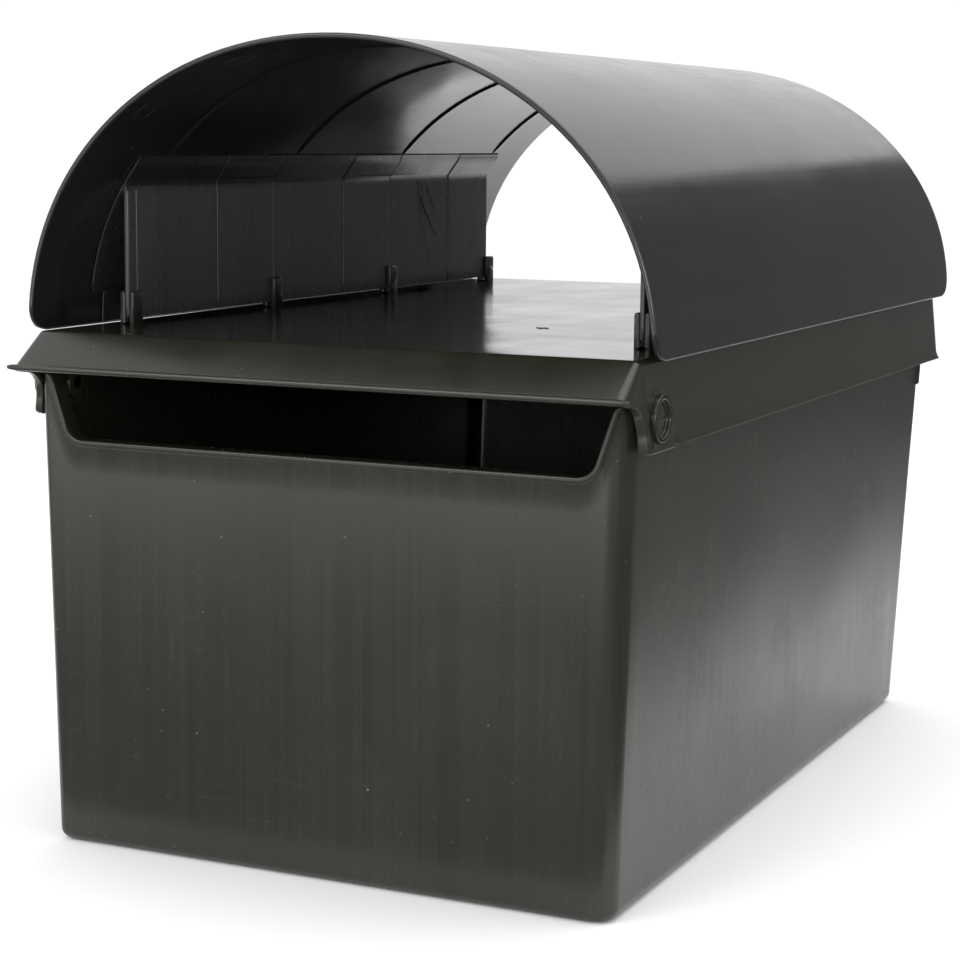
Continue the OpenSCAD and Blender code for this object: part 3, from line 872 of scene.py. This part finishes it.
def make_canopy(material):
    """The canopy: a bent sheet with rounded edges and hoop ribs on its inner face."""
    skin = Skin()
    start = arch_angle(SEAT_TOP, SHEET)

    def inner_depth(t, y):
        on = smooth(t, start, start + 0.03) * smooth(math.pi - t, start, start + 0.03)
        bump = np.zeros_like(y)
        for hoop in HOOPS:
            bump = np.maximum(bump, smooth(np.abs(y - hoop), 0.78, 0.5))
        return SHEET + HOOP_IN * on * bump
    outer = canopy_grid(lambda t, y: 0 * y)
    sheet(skin, outer, canopy_grid(inner_depth), SHEET / 2)
    for t, y in RING_MARKS:
        ring_mark(skin, t, y)
    build("canopy_sheet", skin, "lid", ["canopy"], material)


# ---- Legs and posts

POST_FIRST = 48
POST_PITCH = 128
POST_Y = [ARCH_Y0 + POST_FIRST + POST_PITCH * i for i in range(4)]
LEG_X = LID_X - 17.5
LEG_T = 1.6
FLAP_T = 1.3
FLAP_IN = 0.4
FLAP_L = 54
LEG_Z = LEG_LOW[2]
LEG_Y0 = LEG_LOW[1]
LEG_Y1 = LEG_HIGH[1]
SEAT_GAP = 0.08
PANEL_TOP = 293
SEAT_FOOT_Y = 137


def leg_path(depth):
    """Down the strip on the vault and down the panel, as (x, z) points, depth in from the back."""
    skin_depth = SHEET + SEAT_GAP + 0.1
    back_x = LEG_X + LEG_T / 2 - 0.15
    t1 = arch_angle(SEAT_TOP - 0.6, skin_depth)
    low = arch_angle(40, skin_depth)
    ts = np.linspace(low, t1, 60)
    xs, zs = arch_point(ts, skin_depth)
    reach = int(np.argmin(np.abs(xs - LEG_X)))
    corner = np.array([xs[reach], zs[reach]])
    strip = []
    for t in t1 - (t1 - ts[reach]) * np.array([0, 0.03, 0.1, 0.25, 0.45, 0.65, 0.85, 0.98]):
        taper = 0.3 + 0.7 * float(smooth(t1 - t, 0, 0.03))
        strip.append(np.array(arch_point(t, skin_depth + depth * taper)))
    panel = [np.array([back_x - depth, z]) for z in np.linspace(corner[1] - 1.2, LEG_Z + 0.6, 12)]
    return np.array(strip + panel)


def along_leg(path, ys, way):
    """A grid of points: a path of (x, z) points repeated at each y."""
    return np.array([points_of(x * way, ys, z) for x, z in path])


def wire(skin, points, r):
    """A fine half-sunk bead through points on a panel's face, with closed ends."""
    points = np.array(points, float)
    steps = np.diff(points, axis=0)
    tangent = unit(np.vstack([steps[:1], steps[:-1] + steps[1:], steps[-1:]]))
    across = unit(np.cross(tangent, (1, 0, 0)))
    rows = []
    for shrink, at in [(0.3, 0)] + [(1, i) for i in range(len(points))] + [(0.3, len(points) - 1)]:
        ring = []
        for a in turn_angles(8):
            outwards = across[at] * math.cos(a) + np.array([math.sin(a), 0, 0])
            ring.append(points[at] + shrink * r * outwards)
        rows.append(ring)
    skin.closed(rows)


def crease_lines(x):
    """The folds of a creased corner on the left panel, as (y, z) runs given a face at x."""
    low = LEG_Z + 2
    levels = np.linspace(PANEL_TOP - 1, low, 26)
    wavy = [(126.5 + 1.6 * math.sin(z / 13) + (PANEL_TOP - z) / 20, z) for z in levels]
    second = [(y + 2.2 + 0.5 * math.sin(z / 7), z) for y, z in wavy[4:]]
    fold_a = [(125.5, 286), (133, 277.5), (141.5, 268.5), (149.5, 260.5)]
    fold_b = [(134.5, 291.5), (140, 284), (145, 278.5), (148.8, 274)]
    fold_c = [(130, 291), (133, 280), (135, 272)]
    fold_d = [(133, 265), (137, 255), (141, 246)]
    return [[(x, y, z) for y, z in run] for run in (wavy, second, fold_a, fold_b, fold_c, fold_d)]


def make_leg(way, name, material):
    """A leg panel of wide and narrow flaps, with the seat that lies along the vault."""
    skin = Skin()
    start = LEG_Y0 + 0.4
    flaps = []
    for y in POST_Y[1:]:
        flaps.append((start, y - FLAP_L - 0.5, 0.0))
        flaps.append((y - FLAP_L + 0.5, y - 0.8, FLAP_IN))
        start = y + 0.9
    for y0, y1, proud in flaps:
        inside = np.linspace(y0 + 2, y1 - 2, int((y1 - y0) / 6))
        ys = np.concatenate([[y0, y0 + 0.5], inside, [y1 - 0.5, y1]])
        front, back = (along_leg(leg_path(depth), ys, way) for depth in (FLAP_T + proud, 0))
        sheet(skin, front, back, 0.35, 5, 0.7)
    # The web that joins the flaps
    ys = np.linspace(LEG_Y0 + 1.2, LEG_Y1 - 1.2, 60)
    front, back = (along_leg(leg_path(depth)[1:-1], ys, way) for depth in (0.45, 0.05))
    sheet(skin, front, back, 0.15, 4, 0.8)
    # Stiffening beads by the front edge
    low, high = LEG_Z + 1, PANEL_TOP - 1
    for bead_x, bead_y, r in ((LEG_X - 0.5, LEG_Y0 + 1.3, 1.15), (LEG_X - 0.9, LEG_Y0 + 8, 0.55)):
        def upright(u, v, along):
            return points_of(way * (bead_x + u), bead_y + v, along)
        profile = rounded_profile([(0.1, low), (r, low), (r, high), (0.1, high)], [0, r * 0.7, r * 0.7, 0])
        lathe(skin, profile, upright, 20)
    if way < 0:
        face_x = LEG_X + LEG_T / 2 - FLAP_T - 0.05
        for run, r in zip(crease_lines(-face_x), (0.5, 0.35, 0.5, 0.45, 0.3, 0.3)):
            wire(skin, run, r)
    # The seat's lower part, behind the panel
    for low, high, y0, y1 in ((15.5, 70, LEG_Y0 + 0.4, LEG_Y1 - 0.4), (1.2, 17, LEG_Y0 + 10, SEAT_FOOT_Y)):
        ts = np.linspace(arch_angle(low, SHEET + SEAT_GAP), arch_angle(high, SHEET + SEAT_GAP), 16)
        ys = np.linspace(y0, y1, 40)
        front, back = (along_leg([arch_point(t, SHEET + SEAT_GAP + depth) for t in ts], ys, way)
                       for depth in (1.1, 0.1))
        sheet(skin, front, back, 0.3, 4, 0.8)
    build(name + "_detail", skin, "lid", [name], material)


def make_post(y, name, material):
    """A slotted post: a foot, two prongs with rounded tops, and its spigot under the lid."""
    skin = Skin()
    low, high = box_mm(name)
    half_x = (high[0] - low[0]) / 2
    half_y = (high[1] - low[1]) / 2
    x = (high[0] + low[0]) / 2
    top = high[2] - TOP_Z
    gap = 1.0
    web = 0.8
    tip = 1.2
    outline = rounded(
        [(-half_x, 0), (half_x, 0), (half_x, top), (gap, top), (gap, web), (-gap, web), (-gap, top),
         (-half_x, top)],
        [0, 0, tip, tip, 0.5, 0.5, tip, tip], 4)

    def across(u, v, along):
        return points_of(x + u, y + along, TOP_Z - 0.3 + v * (top + 0.3) / top)
    slab(skin, outline, -half_y, half_y, 0.9, across, 4)

    def upright(u, v, along):
        return points_of(x + u, y + v, along)
    under = TOP_Z - LID_WALL - 1.6
    barb_r = 3.4
    spigot_r = 2.5
    profile = rounded_profile(
        [(0.4, under), (barb_r, under), (barb_r, under + 1.5), (spigot_r, under + 1.5),
         (spigot_r, TOP_Z + 0.3), (0.4, TOP_Z + 0.3)],
        [0, 0.4, 0.2, 0, 0, 0])
    lathe(skin, profile, upright, 32)
    build(name + "_detail", skin, "lid", [name], material)


# ---- Materials

class Nodes:
    """Short names for the nodes of a material or of the world."""

    def __init__(self, owner):
        owner.use_nodes = True
        self.tree = owner.node_tree
        self.tree.nodes.clear()
        self.coordinates = self.tree.nodes.new("ShaderNodeTexCoord").outputs["Object"]

    def link(self, source, socket):
        if isinstance(source, bpy.types.NodeSocket):
            self.tree.links.new(source, socket)
        else:
            socket.default_value = source

    def make(self, kind, inputs, **settings):
        node = self.tree.nodes.new("ShaderNode" + kind)
        for key, value in settings.items():
            setattr(node, key, value)
        for key, value in inputs.items():
            self.link(value, node.inputs[key])
        return node

    def axis(self, letter):
        """The object coordinate along X, Y or Z."""
        return self.make("SeparateXYZ", {"Vector": self.coordinates}).outputs[letter]

    def stretched(self, scale):
        """Object coordinates scaled along X, Y and Z."""
        return self.make("Mapping", {"Vector": self.coordinates, "Scale": scale}).outputs["Vector"]

    def noise(self, scale, detail, rough, distortion=0.0):
        return self.make("TexNoise", {"Vector": self.stretched(scale), "Scale": 1.0, "Detail": detail,
                                      "Roughness": rough, "Distortion": distortion}).outputs["Fac"]

    def remap(self, value, low, high, to_low, to_high):
        return self.make("MapRange", {"Value": value, "From Min": low, "From Max": high, "To Min": to_low,
                                      "To Max": to_high}).outputs["Result"]

    def maths(self, operation, a, b):
        return self.make("Math", {0: a, 1: b}, operation=operation).outputs[0]

    def plus(self, start, value, share):
        """start plus share times value."""
        return self.maths("ADD", start, self.maths("MULTIPLY", value, share))

    def mix(self, share, a, b):
        """Colour a where share is 0 and colour b where it is 1."""
        return self.make("Mix", {"Factor": share, 6: a, 7: b}, data_type="RGBA").outputs[2]


OLIVE = (0.0130, 0.0142, 0.0092, 1)
OLIVE_LIGHT = (0.0190, 0.0205, 0.0142, 1)
DARK = (0.0085, 0.0095, 0.0080, 1)
DARK_LIGHT = (0.0140, 0.0155, 0.0130, 1)
LEG_TONE = (0.036, 0.037, 0.041, 1)
LEG_LIGHT = (0.058, 0.059, 0.064, 1)
POST_TONE = (0.024, 0.026, 0.021, 1)
POST_LIGHT = (0.034, 0.037, 0.030, 1)
SCUFF_TONE = (0.16, 0.165, 0.15, 1)
SPECK_TONE = (0.3, 0.3, 0.28, 1)
FINE_DEPTH = 0.000012
SCUFF_DEPTH = 0.00002


def plastic(name, colour, light, rough, grain, grain_depth, haze=0.0, scratches=0.5, wave=0.0,
            dark_above=None, dark_beyond=None, gloss_above=None):
    """A dark moulded plastic.

    colour and light are its two tones, rough its roughness range. grain scales the drawn texture
    along X, Y and Z, and grain_depth is that texture's depth in metres. haze is how much the
    dull patches show, scratches how many fine marks there are, and wave the depth of slow waves.
    Above the height dark_above and beyond dark_beyond to each side, in metres, the tone is darker.
    Above gloss_above it is glossier.
    """
    material = bpy.data.materials.new(name)
    n = Nodes(material)
    patches = n.noise((9, 9, 9), 4, 0.55)
    streaks = n.noise(grain, 4, 0.6)
    fine = n.noise((900, 900, 900), 2, 0.5)
    cloud = n.noise((22, 22, 22), 5, 0.6, 0.4)
    # Fine scuffs: thin stretched cells in two directions
    scuff_a = n.remap(n.noise((26, 26, 420), 2, 0.5, 0.25), 0.70, 0.74, 0, 1)
    scuff_b = n.remap(n.noise((380, 300, 18), 2, 0.5, 0.3), 0.72, 0.76, 0, 1)
    scuffs = n.maths("MULTIPLY", n.maths("MAXIMUM", scuff_a, scuff_b), scratches)
    specks = n.remap(n.noise((520, 520, 520), 1, 0.4), 0.80, 0.83, 0, 1)
    tone = n.maths("MULTIPLY", n.remap(patches, 0.35, 0.65, 0, 1), 0.5)
    tone = n.plus(tone, n.remap(streaks, 0.35, 0.65, 0, 1), 0.5)
    base = n.mix(tone, colour, light)
    base = n.mix(n.maths("MULTIPLY", scuffs, 0.35), base, SCUFF_TONE)
    base = n.mix(n.maths("MULTIPLY", specks, 0.5), base, SPECK_TONE)
    if dark_above:
        above = n.remap(n.axis("Z"), dark_above, dark_above + 0.0008, 0, 0.8)
        outside = n.remap(n.maths("ABSOLUTE", n.axis("X"), 0), dark_beyond, dark_beyond + 0.001, 0, 0.8)
        base = n.mix(n.maths("MAXIMUM", above, outside), base, DARK)
    low, high = rough
    mottle = n.plus(n.maths("MULTIPLY", cloud, 0.6), streaks, 0.4)
    roughness = n.remap(mottle, 0.38, 0.62, low, high)
    roughness = n.plus(roughness, scuffs, 0.12)
    if gloss_above:
        polish = n.remap(n.axis("Z"), gloss_above - 0.0006, gloss_above, 1, 0.75)
        roughness = n.maths("MULTIPLY", roughness, polish)
    if haze:
        roughness = n.plus(roughness, n.remap(patches, 0.5, 0.62, 0, 1), haze)
    height = n.maths("MULTIPLY", streaks, grain_depth)
    height = n.plus(height, fine, FINE_DEPTH)
    height = n.plus(height, scuffs, -SCUFF_DEPTH)
    if wave:
        slow = n.noise((14, 11, 14), 1.5, 0.4, 0.6)
        height = n.plus(height, slow, wave)
    bump = n.make("Bump", {"Height": height, "Strength": 1.0, "Distance": 1.0}).outputs["Normal"]
    shader = n.make("BsdfPrincipled",
                    {"Base Color": base, "Roughness": roughness, "Normal": bump, "IOR": 1.5})
    n.make("OutputMaterial", {"Surface": shader.outputs[0]})
    return material


BIN_PLASTIC = plastic("bin_plastic", OLIVE, OLIVE_LIGHT, (0.20, 0.28), (260, 260, 2.2), 0.000025,
                      haze=0.03, scratches=0.1)
LID_PLASTIC = plastic("lid_plastic", OLIVE, OLIVE_LIGHT, (0.16, 0.24), (40, 6, 40), 0.00002,
                      haze=0.01, scratches=0.1, wave=0.0001, gloss_above=(TOP_Z - 0.8) * MM)
CANOPY_PLASTIC = plastic("canopy_plastic", DARK, DARK_LIGHT, (0.14, 0.20), (220, 3, 220), 0.00002,
                         haze=0.03, scratches=0.12)
LEG_PLASTIC = plastic("leg_plastic", LEG_TONE, LEG_LIGHT, (0.22, 0.32), (90, 90, 5), 0.00002,
                      haze=0.03, scratches=0.15, dark_above=PANEL_TOP * MM, dark_beyond=(LEG_X + 2) * MM)
PIN_PLASTIC = plastic("pin_plastic", OLIVE, OLIVE_LIGHT, (0.10, 0.15), (60, 60, 60), 0.00003,
                      wave=0.0003)
POST_PLASTIC = plastic("post_plastic", POST_TONE, POST_LIGHT, (0.15, 0.21), (120, 120, 8), 0.00002)


# ---- The object

make_bin(BIN_PLASTIC)
make_lid(LID_PLASTIC)
make_canopy(CANOPY_PLASTIC)
for way, word in ((-1, "left"), (1, "right")):
    make_sleeve(way, "hinge_sleeve_" + word, PIN_PLASTIC)
    make_plug(way, "hinge_plug_" + word, PIN_PLASTIC)
    make_leg(way, "canopy_leg_" + word, LEG_PLASTIC)
    for number, post_y in enumerate(POST_Y, 1):
        make_post(post_y, "post_" + word + "_" + str(number), POST_PLASTIC)


# ---- Floor, light and camera

def flat_stage(name, corners, colour, glow=1.0, seen=False):
    """A plain floor, or, if it isn't seen, a glowing card that the camera only sees mirrored."""
    mesh = bpy.data.meshes.new(name)
    mesh.from_pydata(corners, [], [(0, 1, 2, 3)])
    card = put(name, mesh)
    material = bpy.data.materials.new(name)
    n = Nodes(material)
    if seen:
        shader = n.make("BsdfPrincipled",
                        {"Base Color": colour, "Roughness": 0.6, "Specular IOR Level": 0.0})
    else:
        shader = n.make("Emission", {"Color": colour, "Strength": glow})
    n.make("OutputMaterial", {"Surface": shader.outputs[0]})
    mesh.materials.append(material)
    card.visible_camera = seen
    card.visible_shadow = seen
    card.visible_diffuse = seen
    card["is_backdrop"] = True


def upright_card(name, azimuth, distance, width, high, cut, colour, glow):
    """A card that stands at a distance from the origin, square on to it. Azimuth 0 is +Y, 90 is +X.

    cut is how far its upper left corner is moved in.
    """
    a = math.radians(azimuth)
    ahead = np.array([math.sin(a), math.cos(a)]) * distance
    side = np.array([math.cos(a), -math.sin(a)]) * width / 2
    inner = ahead - side * (1 - 2 * cut / width)
    corners = [tuple(ahead - side) + (0,), tuple(ahead + side) + (0,), tuple(ahead + side) + (high,),
               tuple(inner) + (high,)]
    flat_stage(name, corners, colour, glow)


def area_light(name, place, target, size, power_w):
    data = bpy.data.lights.new(name, "AREA")
    data.shape = "RECTANGLE"
    data.size, data.size_y = size
    data.energy = power_w
    lamp = put(name, data)
    back = unit(np.array(place, float) - np.array(target, float))
    side = unit(np.cross((0, 0, 1), back))
    turn = np.stack([side, np.cross(back, side), back], axis=1)
    lamp.matrix_world = Matrix.Translation(place) @ Matrix(turn.tolist()).to_4x4()


def grey(level):
    return (level, level, level, 1)


def level_stage(name, x0, x1, y0, y1, z, level, seen=False):
    """The floor, or a card that lies on it and is only seen mirrored."""
    flat_stage(name, [(x0, y0, z), (x1, y0, z), (x1, y1, z), (x0, y1, z)], grey(level), seen=seen)


FLOOR_HALF = 40
level_stage("floor", -FLOOR_HALF, FLOOR_HALF, -FLOOR_HALF, FLOOR_HALF, -0.0005, 0.95, True)
# What the glossy walls mirror: tones on the floor to the right and in front, each from a near to a far
# distance at its level, and a dim wall behind to the right
RIGHT_TONES = [(0.235, 0.285, 0.75), (0.285, 3, 0.2)]
FRONT_TONES = [(0.26, 0.75, 0.42), (0.75, 0.95, 0.65), (0.95, 1.12, 1.1), (1.12, 1.3, 2.1), (1.3, 2.6, 3.1)]
for number, (near_x, far_x, level) in enumerate(RIGHT_TONES):
    level_stage("right_tone_" + str(number), near_x, far_x, -2, 3, 0.0005, level)
for number, (near_y, far_y, level) in enumerate(FRONT_TONES):
    level_stage("front_tone_" + str(number), -2.5, 0.25, -far_y, -near_y, 0.001, level)
upright_card("dim_wall", azimuth=30, distance=1.25, width=2.0, high=1.0, cut=0.80, colour=grey(0.2), glow=0.8)
area_light("key", (-0.9, -1.9, 1.6), (0, 0, 0.2), (1.4, 1.0), 15)
area_light("top", (0.5, 0.5, 2.2), (0, 0, 0.3), (2.4, 1.8), 20)
area_light("fill", (0.9, -1.7, 0.55), (-0.05, -0.1, 0.28), (0.5, 0.4), 6)

world = bpy.data.worlds.new("studio")
bpy.context.scene.world = world
n = Nodes(world)
backdrop = n.make("Background", {"Color": grey(1), "Strength": 1.06})
n.make("OutputWorld", {"Surface": backdrop.outputs[0]})

# The camera stands in front, to the right and a little above, and looks down a little.
CAMERA_AT = (0.46531, -1.05456, 0.31576)
CAMERA_YAW = math.radians(24.994)
CAMERA_DOWN = math.radians(8.404)
CAMERA_ROLL = math.radians(0.497)
ahead = np.array([-math.sin(CAMERA_YAW) * math.cos(CAMERA_DOWN),
                  math.cos(CAMERA_YAW) * math.cos(CAMERA_DOWN),
                  -math.sin(CAMERA_DOWN)])
right = np.array([math.cos(CAMERA_YAW), math.sin(CAMERA_YAW), 0])
above = np.cross(right, ahead)
camera_x = math.cos(CAMERA_ROLL) * right + math.sin(CAMERA_ROLL) * above
camera_y = -math.sin(CAMERA_ROLL) * right + math.cos(CAMERA_ROLL) * above
camera_data = bpy.data.cameras.new("camera")
camera_data.lens = 86.387
camera_data.sensor_width = 36
camera = put("camera", camera_data)
camera_turn = Matrix(np.stack([camera_x, camera_y, -ahead], axis=1).tolist())
camera.matrix_world = Matrix.Translation(CAMERA_AT) @ camera_turn.to_4x4()
bpy.context.scene.camera = camera
bpy.context.scene.view_settings.view_transform = "Standard"

LOOK_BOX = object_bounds()
[[list(map(float, corner)) for corner in box] for box in (CAD_BOX, LOOK_BOX)]
